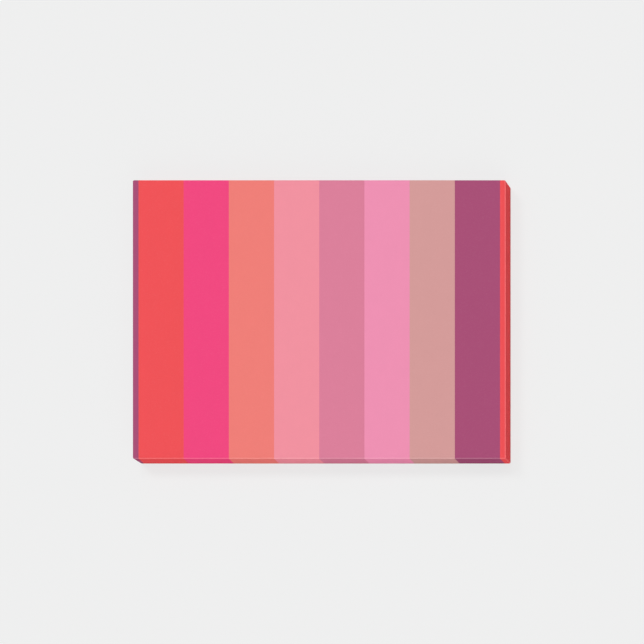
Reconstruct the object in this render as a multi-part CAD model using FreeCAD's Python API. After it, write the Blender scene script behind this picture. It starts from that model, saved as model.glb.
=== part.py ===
# Sticky note pad: a block of printed notes, gummed along one long edge, on a backing sheet.
# Millimetres, +Z up. The origin is the middle of the underside. +X runs along the long side,
# and +Y points at the gummed edge, where the notes hold together.

import FreeCAD, Part
import os

# Driving dimensions
note_length = 102.0  # the long, gummed side of one note
note_width = 76.2  # from the gummed edge to the free edge
note_thickness = 0.1  # one note with its share of gum
note_count = 50
backing_thickness = 0.2  # the stiffer sheet under the last note

# The notes are knocked square by hand after cutting, so each one but the top note lies a little
# off the pad's middle. Its shift along each side is a whole number of small steps, either way.
shift_step = 0.02
most_steps = 5
shift_choices = 2 * most_steps + 1
stride_along = 1
stride_across = 3


def sheet(thickness, bottom, along=0.0, across=0.0):
    """One sheet of the pad's size, shifted from the middle, with its underside at a height."""
    corner = FreeCAD.Vector(along - note_length / 2, across - note_width / 2, bottom)
    return Part.makeBox(note_length, note_width, thickness, corner)


def shift(number, stride):
    """How far a note lies off the middle. Cubes modulo the choices take them in an uneven order."""
    choice = (stride * number**3 + most_steps) % shift_choices
    return shift_step * (choice - most_steps)


def note_sheets():
    """The notes as one block, with the edge of each note as its own layer, from the top note down."""
    top = backing_thickness + note_count * note_thickness
    notes = []
    for number in range(note_count):
        bottom = top - (number + 1) * note_thickness
        along = shift(number, stride_along)
        across = shift(number, stride_across)
        notes.append(sheet(note_thickness, bottom, along, across))
    return notes[0].multiFuse(notes[1:]).Solids[0]


def backing_sheet():
    """The plain sheet that the last note is stuck to, lying on the table."""
    return sheet(backing_thickness, 0.0)


pieces = {
    "note_sheets": note_sheets(),
    "backing_sheet": backing_sheet(),
}

os.makedirs("parts", exist_ok=True)
for name, solid in pieces.items():
    solid.exportStep("parts/" + name + ".step")
    box = solid.BoundBox
    print(name, "faces", len(solid.Faces), "valid", solid.isValid(), "volume", round(solid.Volume, 3))
    print("  x", box.XMin, box.XMax, "y", box.YMin, box.YMax, "z", box.ZMin, box.ZMax)
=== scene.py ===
"""A sticky note pad: striped notes gummed into a block, on a backing sheet, on a pale studio floor."""

import math
import random

import bmesh
import bpy
from bpy.props import FloatProperty, FloatVectorProperty, PointerProperty
from bpy.types import Operator, Panel, PropertyGroup
from mathutils import Matrix, Vector


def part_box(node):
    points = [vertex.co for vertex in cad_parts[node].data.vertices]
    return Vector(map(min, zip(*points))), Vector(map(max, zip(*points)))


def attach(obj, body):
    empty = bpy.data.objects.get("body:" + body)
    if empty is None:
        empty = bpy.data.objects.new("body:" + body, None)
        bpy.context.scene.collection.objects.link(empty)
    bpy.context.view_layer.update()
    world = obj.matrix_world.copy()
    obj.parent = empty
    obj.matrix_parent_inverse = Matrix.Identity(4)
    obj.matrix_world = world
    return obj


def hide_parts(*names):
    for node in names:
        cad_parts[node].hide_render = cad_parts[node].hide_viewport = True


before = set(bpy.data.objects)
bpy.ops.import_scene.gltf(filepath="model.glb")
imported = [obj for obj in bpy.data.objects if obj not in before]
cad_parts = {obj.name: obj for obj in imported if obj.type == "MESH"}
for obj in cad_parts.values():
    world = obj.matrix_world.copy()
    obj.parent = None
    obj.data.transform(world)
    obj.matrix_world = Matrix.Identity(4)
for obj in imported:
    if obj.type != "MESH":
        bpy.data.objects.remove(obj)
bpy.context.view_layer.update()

bl_info = {
    "name": "Sticky note pad",
    "version": (1, 0, 0),
    "blender": (4, 5, 0),
    "location": "3D View > Sidebar > Note pad",
    "description": "Makes a pad of striped sticky notes and the studio floor that it lies on",
    "category": "Object",
}

MM = 0.001
BACKING_LOW, BACKING_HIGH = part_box("backing_sheet")
NOTE_LENGTH = BACKING_HIGH.x - BACKING_LOW.x
NOTE_WIDTH = BACKING_HIGH.y - BACKING_LOW.y
BACKING_TOP = BACKING_HIGH.z
PAD_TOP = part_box("note_sheets")[1].z

# The sheets' shapes
SHIFT_SEED = 5
SEAM_SEED = 7
SEAM_UNEVENNESS = 3  # a higher number leaves fewer wide seams among the narrow ones
LOOSE_CURVE = 1.4  # a higher number keeps the notes closed further out from the gum
BROAD_WAVE = 21 * MM  # the length of a wave in the top note, over 2 pi
FINE_WAVE = 9 * MM
WAVE_SLANT = 30 * MM
RIM_ANGLE = math.radians(80)  # a sheet's rim bends more than this
FACING_UP = 0.99  # a printed face's normal rises more than this
WELD_REACH = 0.0001 * MM  # joins the block's wall where its ends meet

# One note's edge in the block, from the seam under it to the seam over it, as shares of its
# thickness. It is cut upright from the second to the third.
EDGE_STEPS = (0.02, 0.16, 0.84, 0.98)
NOTE_LEVELS = len(EDGE_STEPS)
LAST_STEP = NOTE_LEVELS - 1
CUT_MIDDLE = LAST_STEP / 2 / NOTE_LEVELS

# The block has two maps. One counts its notes for the material. The other is for baking: the four
# sides as strips above each other, then the underside and the top beside each other.
EDGE_MAP = "edges"
BAKE_MAP = "OFBake"
STRIP = 0.24
STRIP_MARGIN = 0.02
STRIP_FILL = 0.96
LONG_SIDE = 0.98
ENDS_MIDDLE = 0.98
ENDS_HEIGHT = 0.03
END_LENGTH = 0.48

# Print, wear and a painted highlight, in millimetres, as the materials measure places
SIDE_X = NOTE_LENGTH / 2 / MM
SIDE_Y = NOTE_WIDTH / 2 / MM
INK_WAVER = 0.04
PRINT_WANDER = 0.2  # from the print of one note to the next one's, at most
# The painted highlight along the top note's front and right edges stands in for light catching them. It
# fades in between the next two distances and wavers by the third.
HIGHLIGHT_START = 0.3  # from the edge of the top note
HIGHLIGHT_FULL = 0.15
HIGHLIGHT_WAVER = 0.12
WEAR_START = 0.4  # from a corner of the block
WEAR_FULL = 0.1
KNIFE_DRAG = 0.06  # how slowly a knife mark changes down the block, against along it
FIBRE_STRETCH = (0.3, 1.0, 1.0)

# How each lamp's light travels. One of its three parts is 1: the way that its share is given for.
KEY_LEAN = Vector((0.6, -0.65, -1.0))
BACK_LEAN = Vector((0.0, -0.65, -1.0))
FILL_LEAN = Vector((-0.29, 1.0, -0.36))
LAMP_SPREAD = 20  # degrees
FILL_SPREAD = 60
FLOOR_RADIUS = 4.0
FLOOR_DROP = 0.02 * MM
# Where the eye stands for each unit of its height: to the right, and in front, which is below 0.
EYE_LEAN = (0.3445, -0.3205)
PICTURE_MIDDLE = (0.752 * MM, -0.682 * MM)  # the place on the top note that the eye looks at
NEAR_CLIP = 10 * MM


def display_colour(red, green, blue):
    """A colour as a screen shows it, in steps of 255, as the linear values that shaders work in."""
    steps = (value / 255 for value in (red, green, blue))
    return tuple(((s + 0.055) / 1.055) ** 2.4 if s > 0.04045 else s / 12.92 for s in steps)


def length(name, description, millimetres):
    """A size that the sidebar shows with its unit."""
    return FloatProperty(
        name=name, description=description, default=millimetres * MM, unit="LENGTH", precision=5
    )


def portion(name, description, default):
    """A share of full light or colour that the sidebar shows as a slider."""
    return FloatProperty(
        name=name, description=description, default=default, subtype="FACTOR", min=0, max=1
    )


def colour(name, description, red, green, blue):
    """A colour that the sidebar shows as a swatch."""
    default = display_colour(red, green, blue)
    return FloatVectorProperty(
        name=name, description=description, default=default, subtype="COLOR", min=0, max=1
    )


class NotepadSizes(PropertyGroup):
    """Sizes of the notes and of their print."""

    note_thickness: length("Note thickness", "One note with its share of gum", 0.1)
    corner_radius: length("Corner radius", "Rounding of a cut corner", 0.38)
    rim_bevel: length("Rim bevel", "Rounding where a sheet's face meets its cut edge", 0.02)
    gum_width: length("Gum width", "Width of the gum band along the far long edge", 19.0)
    shift: length("Shift", "How far a note may lie off the middle, along either side", 0.024)
    groove_depth: length("Groove depth", "How far a seam of mean width goes in", 0.014)
    loose_gap: length("Loose gap", "Mean gap between two notes at the free edge", 0.007)
    lift: length("Lift", "How far the free edge of the top note rises and falls", 0.04)
    stripe_pitch: length("Stripe pitch", "Width of one printed stripe", 12.364)
    first_stripe: length("First stripe", "Where the first whole stripe starts, from the left", 1.54)
    print_spread: length("Print spread", "How much wider the lowest print is than the top one", 0.6)


class NotepadColours(PropertyGroup):
    """Inks of the eight stripes, the papers and the floor."""

    red: colour("Red", "First whole stripe from the left, and the last sliver", 239, 75, 80)
    hot_pink: colour("Hot pink", "Second stripe", 240, 63, 123)
    salmon: colour("Salmon", "Third stripe", 239, 122, 115)
    rose: colour("Rose", "Fourth stripe", 241, 142, 157)
    mauve: colour("Mauve", "Fifth stripe", 218, 123, 151)
    pink: colour("Pink", "Sixth stripe", 238, 141, 176)
    tan: colour("Tan", "Seventh stripe", 211, 152, 150)
    plum: colour("Plum", "Eighth stripe, and the first sliver", 165, 71, 113)
    # Paper is also mixed into the painted highlight along the top note's front and right edges, besides
    # the worn corners.
    paper: colour("Paper", "Bare note paper, as on a worn edge", 246, 238, 236)
    backing: colour("Backing", "Backing sheet", 236, 232, 222)
    fleck: colour("Fleck", "Darker fibres in the backing sheet", 168, 146, 118)
    floor: colour("Floor", "Studio floor and backdrop", 239, 239, 239)


class NotepadStage(PropertyGroup):
    """The studio round the pad."""

    key_light: portion("Key light", "Share of the floor's light from the back left", 0.3)
    back_light: portion("Back light", "Share of the floor's light from the back", 0.17)
    fill_light: portion("Fill light", "Light on an upright face towards the front", 0.37)
    fill_colour: colour("Fill colour", "Colour of the fill light, a little cool", 242, 255, 255)
    sky_light: portion("Sky light", "Share of the floor's light from all round", 0.4)
    shadow_lift: portion("Shadow lift", "Share of the floor's colour that its shadows keep", 0.85)
    eye_height: length("Eye height", "Camera above the top note", 665.0)
    frame_width: length("Frame width", "Width of the picture at the top note", 176.2)


class Shade:
    """One socket of a material or of the sky. Arithmetic on it adds Math nodes there."""

    def __init__(self, finish, socket):
        self.finish = finish
        self.socket = socket

    def math(self, operation, *values):
        return self.finish.math(operation, *values)

    def __add__(self, other):
        return self.math("ADD", self, other)

    def __sub__(self, other):
        return self.math("SUBTRACT", self, other)

    def __rsub__(self, other):
        return self.math("SUBTRACT", other, self)

    def __mul__(self, other):
        return self.math("MULTIPLY", self, other)

    def __truediv__(self, other):
        return self.math("DIVIDE", self, other)

    __radd__ = __add__
    __rmul__ = __mul__

    def floor(self):
        return self.math("FLOOR", self)

    def fraction(self):
        return self.math("FRACT", self)

    def size(self):
        """The value without its sign."""
        return self.math("ABSOLUTE", self)

    def ramp(self, low, high):
        """0 below low and 1 above high, with a smooth rise between them."""
        settings = {"interpolation_type": "SMOOTHSTEP"}
        sockets = {"Value": self, "From Min": low, "From Max": high}
        return self.finish.node("MapRange", settings, sockets)


class Shading:
    """The nodes of a material or of the sky."""

    def __init__(self, tree):
        self.tree = tree

    def node(self, kind, settings=None, sockets=None, output=0):
        """Adds a node of a kind, sets it up, feeds its sockets, and gives one of its outputs."""
        made = self.tree.nodes.new("ShaderNode" + kind)
        for name, value in (settings or {}).items():
            if name == "stops":
                self.set_stops(made.color_ramp, value)
            else:
                setattr(made, name, value)
        for name, value in (sockets or {}).items():
            self.feed(made.inputs[name], value)
        return Shade(self, made.outputs[output])

    def set_stops(self, color_ramp, stops):
        """Gives a colour ramp flat fields of colour, each from its own stop to the next."""
        color_ramp.interpolation = "CONSTANT"
        elements = color_ramp.elements
        while len(elements) < len(stops):
            elements.new(1.0)
        for element, (place, shade) in zip(elements, stops, strict=True):
            element.position = place
            element.color = (*shade, 1.0)

    def feed(self, socket, value):
        """Links a shade to a socket, or sets a plain value on it."""
        if isinstance(value, Shade):
            self.tree.links.new(value.socket, socket)
        else:
            socket.default_value = value

    def math(self, operation, *values):
        return self.node("Math", {"operation": operation}, dict(enumerate(values)))

    def seen(self):
        """1 for what is seen, also in a mirror or through glass, and 0 for light on its way."""
        rays = self.node("LightPath").socket.node.outputs
        kinds = ("Is Camera Ray", "Is Glossy Ray", "Is Transmission Ray")
        camera, glossy, through = (Shade(self, rays[kind]) for kind in kinds)
        return self.math("MINIMUM", camera + glossy + through, 1.0)

    def show(self, share, light, backdrop, output):
        """Mixes what lights the pad with what is seen in its place."""
        mixed = self.node("MixShader", None, {0: share, 1: light, 2: backdrop})
        self.feed(self.tree.nodes[output].inputs["Surface"], mixed)


class Finish(Shading):
    """A material and its nodes."""

    # A Mix node has sockets for numbers, vectors and colours. These are the ones for colours.
    MIX_FIRST = 6
    MIX_SECOND = 7
    MIX_RESULT = 2

    def __init__(self, name, shader_values):
        self.material = bpy.data.materials.new(name)
        self.material.use_nodes = True
        super().__init__(self.material.node_tree)
        self.shader = self.tree.nodes["Principled BSDF"]
        for socket, value in shader_values.items():
            self.shader.inputs[socket].default_value = value

    def blend(self, factor, first, second):
        """A colour between two colours."""
        colours = {self.MIX_FIRST: self.solid(first), self.MIX_SECOND: self.solid(second)}
        return self.node("Mix", {"data_type": "RGBA"}, {"Factor": factor, **colours}, self.MIX_RESULT)

    def solid(self, shade):
        """A plain colour with the alpha that a colour socket asks for."""
        return shade if isinstance(shade, Shade) else (*shade, 1.0)

    def scaled(self, vector, factor):
        """A vector or a colour, times a number."""
        sockets = {"Vector": vector, "Scale": factor}
        return self.node("VectorMath", {"operation": "SCALE"}, sockets)

    def place(self):
        """The place on the piece, in millimetres."""
        return self.scaled(self.node("TexCoord", output="Object"), 1 / MM)

    def parts(self, vector):
        """The three numbers of a vector."""
        first = self.node("SeparateXYZ", None, {"Vector": vector})
        return [Shade(self, socket) for socket in first.socket.node.outputs]

    def joined(self, x, y, z):
        return self.node("CombineXYZ", None, {"X": x, "Y": y, "Z": z})

    def noise(self, place, scale, detail=2.0):
        """Soft noise from about -0.5 to 0.5, with about this many bumps to each unit of the place."""
        sockets = {"Vector": place, "Scale": scale, "Detail": detail}
        return self.node("TexNoise", None, sockets, "Fac") - 0.5

    def strands(self, place, turn):
        """1 on thin paper fibres that lie about one way, and 0 between them."""
        sockets = {"Vector": place, "Rotation": (0.0, 0.0, turn), "Scale": FIBRE_STRETCH}
        turned = self.node("Mapping", None, sockets)
        here = self.noise(place, scale=2.0).ramp(-0.1, 0.15)
        return (1 - self.noise(turned, scale=4.0, detail=1.0).size().ramp(0.0, 0.02)) * here

    def colour_by(self, value):
        self.feed(self.shader.inputs["Base Color"], value)

    def roughness_by(self, value):
        self.feed(self.shader.inputs["Roughness"], value)

    def bump_by(self, height_mm):
        """Raises the surface by a height in millimetres."""
        sockets = {"Strength": 1.0, "Distance": MM, "Height": height_mm}
        self.feed(self.shader.inputs["Normal"], self.node("Bump", None, sockets, "Normal"))


def stripe_colour(finish, across, colours, sizes):
    """The printed stripe at a distance across the note, in millimetres from its middle."""
    inks = (
        colours.red,
        colours.hot_pink,
        colours.salmon,
        colours.rose,
        colours.mauve,
        colours.pink,
        colours.tan,
        colours.plum,
    )
    start = (sizes.first_stripe - NOTE_LENGTH / 2) / MM
    repeat = len(inks) * sizes.stripe_pitch / MM
    stops = [(number / len(inks), tuple(ink)) for number, ink in enumerate(inks)]
    where = ((across - start) / repeat).fraction()
    return finish.node("ValToRGB", {"stops": stops}, {"Fac": where})


def printed_face(colours, sizes):
    """Ink on smooth note paper: even fields of colour, with the paper's grain just showing.

    A painted highlight pales and brightens the ink along the front and right edges, where light would
    catch them."""
    finish = Finish("printed_face", {"Specular IOR Level": 0.25})
    place = finish.place()
    x, y, _ = finish.parts(place)
    grain = finish.noise(place, scale=9.0, detail=3.0)
    cloud = finish.noise(place, scale=0.3)
    ink_edge = finish.noise(place, scale=5.0) * INK_WAVER
    ink = stripe_colour(finish, x + ink_edge, colours, sizes)
    ink = finish.scaled(ink, 1 + grain * 0.12 + cloud * 0.03)
    fibres = finish.math("MAXIMUM", finish.strands(place, 0.5), finish.strands(place, 2.2))
    # Painted highlight: along the front and right edges the ink is brightened and mixed with bare
    # paper, standing in for light that catches those edges.
    waver = finish.noise(place, scale=1.5, detail=4.0) * HIGHLIGHT_WAVER
    right = (x + waver).ramp(SIDE_X - HIGHLIGHT_START, SIDE_X - HIGHLIGHT_FULL)
    front = (waver - y).ramp(SIDE_Y - HIGHLIGHT_START, SIDE_Y - HIGHLIGHT_FULL)
    painted_highlight = finish.math("MAXIMUM", right, front) * (1 + finish.noise(place, scale=4.0))
    ink = finish.scaled(ink, 1 + painted_highlight * 0.15)
    finish.colour_by(finish.blend(fibres * 0.035 + painted_highlight * 0.12, ink, tuple(colours.paper)))
    finish.roughness_by(0.74 + grain * 0.2 + fibres * 0.06)
    finish.bump_by(grain * 0.008 + cloud * 0.01 + fibres * 0.003)
    return finish.material


def note_edges(colours, sizes):
    """The cut edges of many notes: the stripes run down them, note by note.

    Each note has its own tone, and so does each batch of notes. A little paper shows in the middle
    of each edge and at the worn corners."""
    finish = Finish("note_edges", {"Specular IOR Level": 0.15})
    place = finish.place()
    x, y, z = finish.parts(place)
    _, note, _ = finish.parts(finish.node("UVMap", {"uv_map": EDGE_MAP}))
    number = note.floor()
    by_note = finish.node("TexWhiteNoise", {"noise_dimensions": "1D"}, {"W": number}, "Color")
    print_shift, tone, core = finish.parts(by_note)

    depth = (PAD_TOP / MM - z) / ((PAD_TOP - BACKING_TOP) / MM)
    spread = (SIDE_X - x) * depth * (sizes.print_spread / NOTE_LENGTH)
    across = x + spread + (print_shift - 0.5) * PRINT_WANDER
    knife = finish.noise(finish.joined(x, y, z * KNIFE_DRAG), scale=5.0, detail=3.0)
    fine = finish.noise(place, scale=14.0)
    batch = finish.noise(finish.joined(0.0, 0.0, number), scale=0.4)
    tint = (tone - 0.5) * 0.2 + batch * 0.3
    ink = stripe_colour(finish, across, colours, sizes)
    ink = finish.scaled(ink, 1 + tint + knife * 0.14 + fine * 0.08)

    off_middle = (note.fraction() - CUT_MIDDLE).size()
    bare = (1 - off_middle.ramp(0.08, 0.3)) * (0.005 + core * 0.03)
    near_x = x.size().ramp(SIDE_X - WEAR_START, SIDE_X - WEAR_FULL)
    near_y = y.size().ramp(SIDE_Y - WEAR_START, SIDE_Y - WEAR_FULL)
    worn = near_x * near_y * finish.noise(place, scale=3.0).ramp(-0.25, 0.25)
    finish.colour_by(finish.blend(bare + worn * 0.14, ink, tuple(colours.paper)))
    finish.roughness_by(0.84 + knife * 0.15)
    finish.bump_by(knife * 0.02 + fine * 0.008)
    return finish.material


def backing_paper(colours):
    """Stiff uncoated paper with a few darker fibres."""
    finish = Finish("backing_paper", {"Specular IOR Level": 0.2})
    place = finish.place()
    grain = finish.noise(place, scale=6.0, detail=4.0)
    cloud = finish.noise(place, scale=0.25)
    paper = finish.scaled(tuple(colours.backing), 1 + grain * 0.06 + cloud * 0.05)
    flecks = finish.math("MAXIMUM", finish.strands(place, 1.1), finish.strands(place, 2.6))
    finish.colour_by(finish.blend(flecks * 0.25, paper, tuple(colours.fleck)))
    finish.roughness_by(0.85 + grain * 0.15)
    finish.bump_by(grain * 0.012)
    return finish.material


def heading(degrees):
    """The level direction at an angle from +X towards +Y."""
    turn = math.radians(degrees)
    return Vector((math.cos(turn), math.sin(turn)))


def side_directions(side):
    """Out of a side and along it. Side 0 faces the front, and the rest follow to its right."""
    out = heading(90 * side - 90)
    return out, Vector((-out.y, out.x))


def outline(radius, side_cuts=24, arc_steps=5):
    """Points round a sheet from its front left corner, each with the direction that faces out."""
    found = []
    for side in range(4):
        out, on = side_directions(side)
        reach = abs(out.x) * NOTE_LENGTH / 2 + abs(out.y) * NOTE_WIDTH / 2 - radius
        half = abs(on.x) * NOTE_LENGTH / 2 + abs(on.y) * NOTE_WIDTH / 2 - radius
        for cut in range(side_cuts + 1):
            along = half * (2 * cut / side_cuts - 1)
            found.append((out * (reach + radius) + on * along, out))
        for step in range(1, arc_steps):
            facing = heading(90 * side - 90 + 90 * step / arc_steps)
            found.append((out * reach + on * half + facing * radius, facing))
    return found


def note_shifts(count, most):
    """How far each note lies off the pad's middle, from the last note up."""
    chance = random.Random(SHIFT_SEED)
    return [
        Vector((chance.uniform(-most, most), chance.uniform(-most, most))) for _ in range(count)
    ]


def seams(count, loose_gap):
    """How wide each seam is at the free edge, from the backing up. Most are narrow, and a few wide.

    The last note is stuck to the backing, so the seam between them has no width."""
    chance = random.Random(SEAM_SEED)
    shares = [chance.random() ** SEAM_UNEVENNESS for _ in range(count)]
    return [0.0] + [loose_gap * count * share / sum(shares) for share in shares]


def looseness(y, gum_width):
    """0 on the gum band and 1 at the free edge."""
    gum_line = NOTE_WIDTH / 2 - gum_width
    share = (gum_line - y) / (gum_line + NOTE_WIDTH / 2)
    return max(0.0, min(1.0, share)) ** LOOSE_CURVE


def swell(x, y, sizes):
    """How far the top note lies from level at a place: below 0, and level on the gum band."""
    wave = math.sin(x / BROAD_WAVE + 0.8) + math.sin(x / FINE_WAVE - y / WAVE_SLANT) / 3
    return (wave / 4 - 0.5) * sizes.lift * looseness(y, sizes.gum_width)


def finished(name, bm, *materials, sharp_angle=40):
    """Puts a mesh in the scene as a piece, shaded smooth between its sharp edges."""
    bmesh.ops.recalc_face_normals(bm, faces=bm.faces)
    for face in bm.faces:
        face.smooth = True
    for edge in bm.edges:
        edge.smooth = edge.calc_face_angle(math.pi) < math.radians(sharp_angle)
    mesh = bpy.data.meshes.new(name)
    bm.to_mesh(mesh)
    bm.free()
    piece = bpy.data.objects.new(name, mesh)
    bpy.context.scene.collection.objects.link(piece)
    for material in materials:
        mesh.materials.append(material)
    return piece


def rounded(bm, geom, offset, affect, segments):
    """Rounds some edges or corners of a mesh."""
    bmesh.ops.bevel(
        bm, geom=geom, offset=offset, affect=affect, segments=segments, profile=0.5, material=-1
    )


def flat_sheet(thickness, top, sizes, cells=(68, 50)):
    """One sheet as a mesh of cells, with rounded corners and a softened rim, hanging from its top."""
    bm = bmesh.new()
    bmesh.ops.create_grid(bm, x_segments=cells[0], y_segments=cells[1], size=0.5)
    bmesh.ops.scale(bm, vec=(NOTE_LENGTH, NOTE_WIDTH, 1), verts=bm.verts)
    corners = [vert for vert in bm.verts if len(vert.link_edges) == 2]
    rounded(bm, corners, sizes.corner_radius, "VERTICES", 3)
    bmesh.ops.solidify(bm, geom=bm.faces[:], thickness=thickness)
    bmesh.ops.recalc_face_normals(bm, faces=bm.faces)
    steep = [edge for edge in bm.edges if edge.calc_face_angle() > RIM_ANGLE]
    rims = [edge for edge in steep if abs(edge.verts[0].co.z - edge.verts[1].co.z) < sizes.rim_bevel]
    rounded(bm, rims, sizes.rim_bevel, "EDGES", 2)
    bmesh.ops.translate(bm, vec=(0, 0, top), verts=bm.verts)
    return bm


class NOTEPAD_OT_top_note(Operator):
    """Make the top note, printed on its face"""

    bl_idname = "notepad.top_note"
    bl_label = "Top note"

    def execute(self, context):
        sizes = context.scene.notepad_sizes
        colours = context.scene.notepad_colours
        bm = flat_sheet(sizes.note_thickness, PAD_TOP, sizes)
        for face in bm.faces:
            face.material_index = 0 if face.normal.z > FACING_UP else 1
        for vert in bm.verts:
            vert.co.z += swell(vert.co.x, vert.co.y, sizes)
        inks = (printed_face(colours, sizes), note_edges(colours, sizes))
        piece = finished("top_note", bm, *inks)
        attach(piece, "root")
        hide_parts("note_sheets")
        return {"FINISHED"}


def wrap(bm, around, levels, sizes):
    """Bends a flat grid round the pad. Its columns follow the outline, and its rows go up the notes."""
    count = (levels + 1) // NOTE_LEVELS
    shifts = note_shifts(count, sizes.shift)
    widths = seams(count, sizes.loose_gap)
    # From the gum to the free edge, each note rises by its seams below, less what the notes below
    # it get thinner by.
    rises = [sum(widths[: note + 1]) - sizes.loose_gap * note for note in range(count)]
    for vert in bm.verts:
        place = round((vert.co.x + 0.5) * len(around)) % len(around)
        note, step = divmod(round((vert.co.y + 0.5) * levels), NOTE_LEVELS)
        point, facing = around[place]
        loose = looseness(point.y, sizes.gum_width)
        inset = 0.0
        if step in (0, LAST_STEP):
            seam = widths[note] if step == 0 else widths[note + 1]
            inset = sizes.groove_depth * (1 + seam / sizes.loose_gap * loose) / 2
        low = BACKING_TOP + sizes.note_thickness * note + rises[note] * loose
        paper = sizes.note_thickness - sizes.loose_gap * loose
        height = low + paper * EDGE_STEPS[step]
        height += swell(point.x, point.y, sizes) * (height - BACKING_TOP) / (PAD_TOP - BACKING_TOP)
        spot = point - facing * inset + shifts[note]
        vert.co = (spot.x, spot.y, height)
    bmesh.ops.remove_doubles(bm, verts=bm.verts, dist=WELD_REACH)


def map_sides(bm, edge_map, levels):
    """Lays the four sides out in the baking map, and makes the edge map count the notes upwards."""
    bake_map = bm.loops.layers.uv.new(BAKE_MAP)
    for face in bm.faces:
        # The grid's columns share the four sides evenly. The small number makes up for rounding.
        side = int(4 * min(loop[edge_map].uv.x for loop in face.loops) + 0.001)
        _, on = side_directions(side)
        for loop in face.loops:
            u, v = loop[edge_map].uv
            along = on.dot(loop.vert.co.xy) / NOTE_LENGTH
            up = (side + STRIP_MARGIN + STRIP_FILL * v) * STRIP
            loop[bake_map].uv = (0.5 + LONG_SIDE * along, up)
            loop[edge_map].uv = (u, v * levels / NOTE_LEVELS)
    return bake_map


def close_ends(bm, bake_map):
    """Closes the block below and above, and lays both ends out in the baking map."""
    rims = [edge for edge in bm.edges if edge.is_boundary]
    for number, face in enumerate(bmesh.ops.holes_fill(bm, edges=rims, sides=0)["faces"]):
        for loop in face.loops:
            x, y, _ = loop.vert.co
            u = 0.25 + 0.5 * number + END_LENGTH * x / NOTE_LENGTH
            loop[bake_map].uv = (u, ENDS_MIDDLE + ENDS_HEIGHT * y / NOTE_WIDTH)


class NOTEPAD_OT_note_block(Operator):
    """Make the notes under the top one, as one block in which each note's edge shows"""

    bl_idname = "notepad.note_block"
    bl_label = "Block of notes"

    def execute(self, context):
        sizes = context.scene.notepad_sizes
        colours = context.scene.notepad_colours
        count = round((PAD_TOP - BACKING_TOP) / sizes.note_thickness) - 1
        levels = NOTE_LEVELS * count - 1
        around = outline(sizes.corner_radius)
        bm = bmesh.new()
        edge_map = bm.loops.layers.uv.new(EDGE_MAP)
        bmesh.ops.create_grid(
            bm, x_segments=len(around), y_segments=levels, size=0.5, calc_uvs=True
        )
        wrap(bm, around, levels, sizes)
        close_ends(bm, map_sides(bm, edge_map, levels))
        piece = finished("note_block", bm, note_edges(colours, sizes), sharp_angle=30)
        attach(piece, "root")
        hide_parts("note_sheets")
        return {"FINISHED"}


class NOTEPAD_OT_backing(Operator):
    """Make the backing sheet that the last note is stuck to"""

    bl_idname = "notepad.backing"
    bl_label = "Backing sheet"

    def execute(self, context):
        sizes = context.scene.notepad_sizes
        colours = context.scene.notepad_colours
        bm = flat_sheet(BACKING_TOP - BACKING_LOW.z, BACKING_TOP, sizes, cells=(17, 13))
        piece = finished("backing_board", bm, backing_paper(colours))
        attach(piece, "root")
        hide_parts("backing_sheet")
        return {"FINISHED"}


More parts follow.
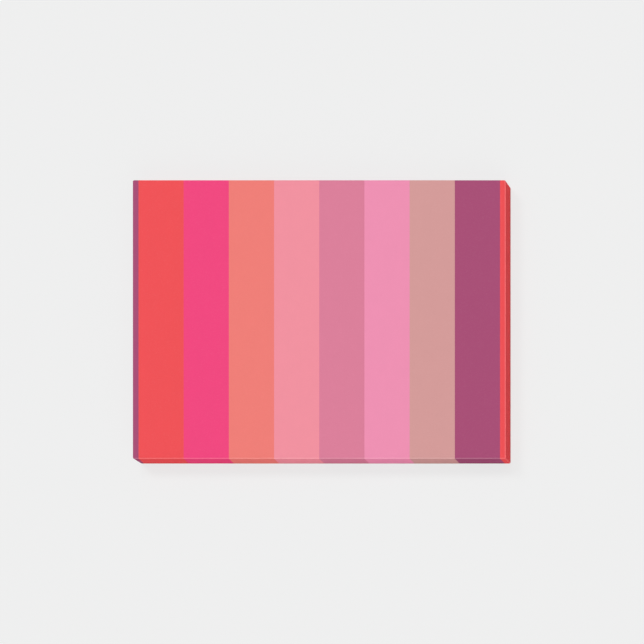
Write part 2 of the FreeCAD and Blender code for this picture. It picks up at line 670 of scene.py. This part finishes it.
class NOTEPAD_OT_stage(Operator):
    """Make the floor, the sky, the lamps and the camera"""

    bl_idname = "notepad.stage"
    bl_label = "Studio"

    def execute(self, context):
        scene = context.scene
        stage = scene.notepad_stage
        backdrop = (*scene.notepad_colours.floor, 1.0)
        scene.view_settings.view_transform = "Standard"
        self.floor(scene, stage, backdrop)
        self.sky(scene, stage, backdrop)
        self.lamp(scene, "key_lamp", KEY_LEAN, stage.key_light, LAMP_SPREAD)
        self.lamp(scene, "back_lamp", BACK_LEAN, stage.back_light, LAMP_SPREAD)
        fill = self.lamp(scene, "fill_lamp", FILL_LEAN, stage.fill_light, FILL_SPREAD)
        fill.color = stage.fill_colour
        self.camera(scene, stage)
        return {"FINISHED"}

    def floor(self, scene, stage, backdrop):
        """A wide round floor. It keeps a share of its own colour in its shadows."""
        values = {"Base Color": backdrop, "Roughness": 0.9, "Specular IOR Level": 0.0}
        finish = Finish("studio_floor", values)
        lit = Shade(finish, finish.shader.outputs[0])
        even = finish.node("Emission", None, {"Color": backdrop, "Strength": 1.0})
        finish.show(finish.seen() * stage.shadow_lift, lit, even, "Material Output")
        bm = bmesh.new()
        bmesh.ops.create_circle(bm, cap_ends=True, segments=96, radius=FLOOR_RADIUS)
        bmesh.ops.translate(bm, vec=(0, 0, -FLOOR_DROP), verts=bm.verts)
        mesh = bpy.data.meshes.new("studio_floor")
        bm.to_mesh(mesh)
        bm.free()
        mesh.materials.append(finish.material)
        floor = bpy.data.objects.new("studio_floor", mesh)
        scene.collection.objects.link(floor)

    def sky(self, scene, stage, backdrop):
        """An even sky that lights the pad from all round, and is seen as the backdrop."""
        world = bpy.data.worlds.new("studio_sky")
        world.use_nodes = True
        scene.world = world
        sky = Shading(world.node_tree)
        light = sky.node("Background", None, {"Color": (1, 1, 1, 1), "Strength": stage.sky_light})
        even = sky.node("Background", None, {"Color": backdrop, "Strength": 1.0})
        sky.show(sky.seen(), light, even, "World Output")

    def lamp(self, scene, name, travel, share, spread):
        """A far soft lamp. Its light travels one way and gives a share of white along that way's 1."""
        light = bpy.data.lights.new(name, "SUN")
        light.energy = share * math.pi * travel.length
        light.angle = math.radians(spread)
        lamp = bpy.data.objects.new(name, light)
        lamp.rotation_mode = "QUATERNION"
        lamp.rotation_quaternion = travel.to_track_quat("-Z", "Y")
        scene.collection.objects.link(lamp)
        return light

    def camera(self, scene, stage):
        """The eye stands to the front right, and the picture plane stays level with the pad.

        The stand leans the view, so that the top note is square to the frame."""
        data = bpy.data.cameras.new("camera")
        camera = bpy.data.objects.new("camera", data)
        stand = bpy.data.objects.new("camera_stand", None)
        scene.collection.objects.link(camera)
        scene.collection.objects.link(stand)
        lean = Vector((*EYE_LEAN, 1))
        middle = Vector((*PICTURE_MIDDLE, PAD_TOP))
        eye = middle + lean * stage.eye_height
        level = Matrix.Identity(4)
        level.col[2] = (*lean, 0)
        camera.parent = stand
        camera.matrix_parent_inverse = Matrix.Translation(eye) @ level
        data.lens = data.sensor_width * stage.eye_height * lean.length / stage.frame_width
        data.clip_start = NEAR_CLIP
        scene.camera = camera


class NOTEPAD_PT_sidebar(Panel):
    """Sizes, colours and makers of the note pad"""

    bl_idname = "NOTEPAD_PT_sidebar"
    bl_label = "Sticky note pad"
    bl_space_type = "VIEW_3D"
    bl_region_type = "UI"
    bl_category = "Note pad"

    def draw(self, context):
        layout = self.layout
        for group in GROUPS:
            values = getattr(context.scene, group)
            box = layout.box()
            for name in values.__annotations__:
                box.prop(values, name)
        for maker in MAKERS:
            layout.operator(maker.bl_idname)


GROUPS = {
    "notepad_sizes": NotepadSizes,
    "notepad_colours": NotepadColours,
    "notepad_stage": NotepadStage,
}
MAKERS = (NOTEPAD_OT_backing, NOTEPAD_OT_note_block, NOTEPAD_OT_top_note, NOTEPAD_OT_stage)


def register():
    for kind in (*GROUPS.values(), *MAKERS, NOTEPAD_PT_sidebar):
        bpy.utils.register_class(kind)
    for name, group in GROUPS.items():
        setattr(bpy.types.Scene, name, PointerProperty(type=group))


def unregister():
    for name in GROUPS:
        delattr(bpy.types.Scene, name)
    for kind in reversed((*GROUPS.values(), *MAKERS, NOTEPAD_PT_sidebar)):
        bpy.utils.unregister_class(kind)


def main():
    register()
    bpy.ops.notepad.backing()
    bpy.ops.notepad.note_block()
    bpy.ops.notepad.top_note()
    bpy.ops.notepad.stage()


if __name__ == "__main__":
    main()
